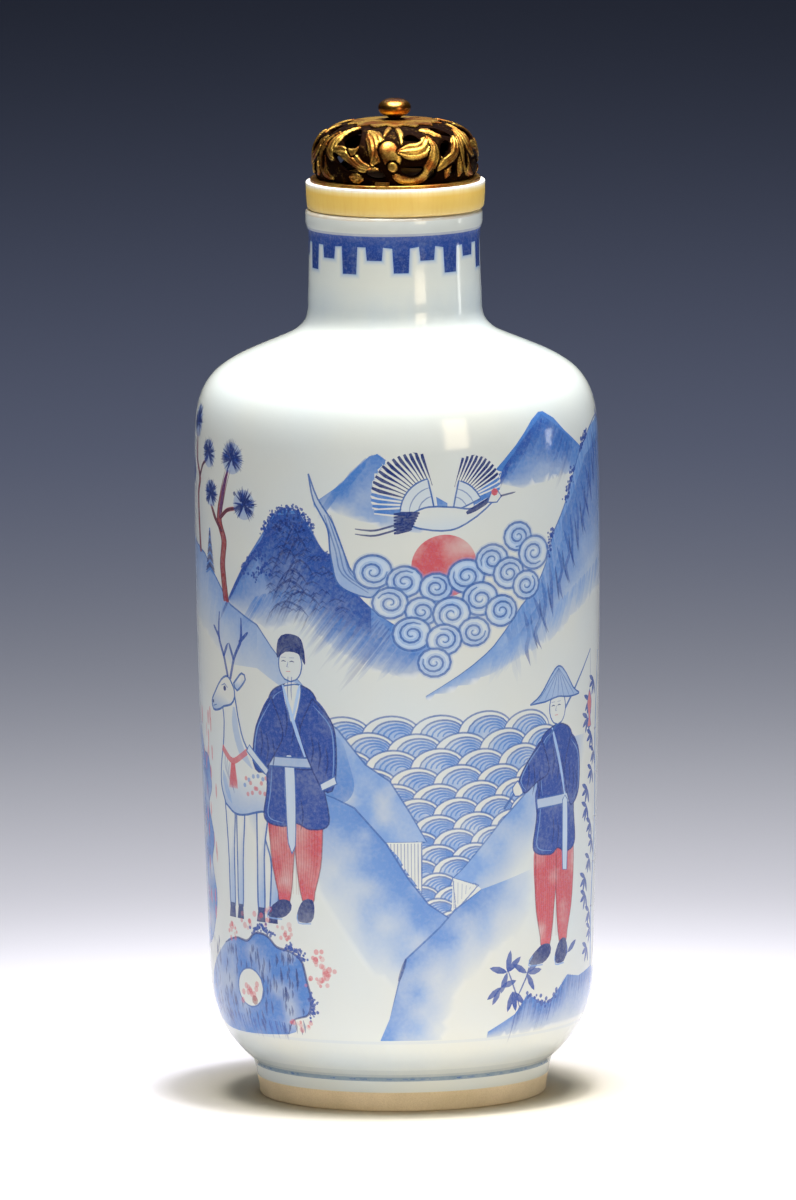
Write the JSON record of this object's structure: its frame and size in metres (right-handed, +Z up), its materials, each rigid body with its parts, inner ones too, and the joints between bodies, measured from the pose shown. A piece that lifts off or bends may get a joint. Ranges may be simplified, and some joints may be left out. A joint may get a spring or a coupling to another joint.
{
  "type": "snuff bottle",
  "caption": "Slim round porcelain snuff bottle with a hollow body, narrow neck and foot ring, closed by a lift-off stopper with a disc collar, openwork metal cap and bead finial.",
  "frame": {"origin": "centre of the foot ring's resting plane", "axes": "+Z up along the bottle's axis, -Y towards the front of the painting, +X to the right seen from the front"},
  "size_m": [0.0362, 0.0362, 0.0893],
  "materials": {
    "porcelain": "clear glossy glaze over blue and red painting, bare clay on the foot ring",
    "horn_collar": "polished yellow horn-like disc, paler along its upper edge",
    "plate_brass": "worn satin brass",
    "gilt_openwork": "gilt metal, worn bright on the high parts and dark in the recesses",
    "bead_gilt": "warm polished gilt bead, lightly rubbed"
  },
  "bodies": {
    "root": {"bottle": "porcelain", "collar": "horn_collar", "base_plate": "plate_brass", "cap_dome": "gilt_openwork", "bead_finial": "bead_gilt"}
  },
  "joints": []
}
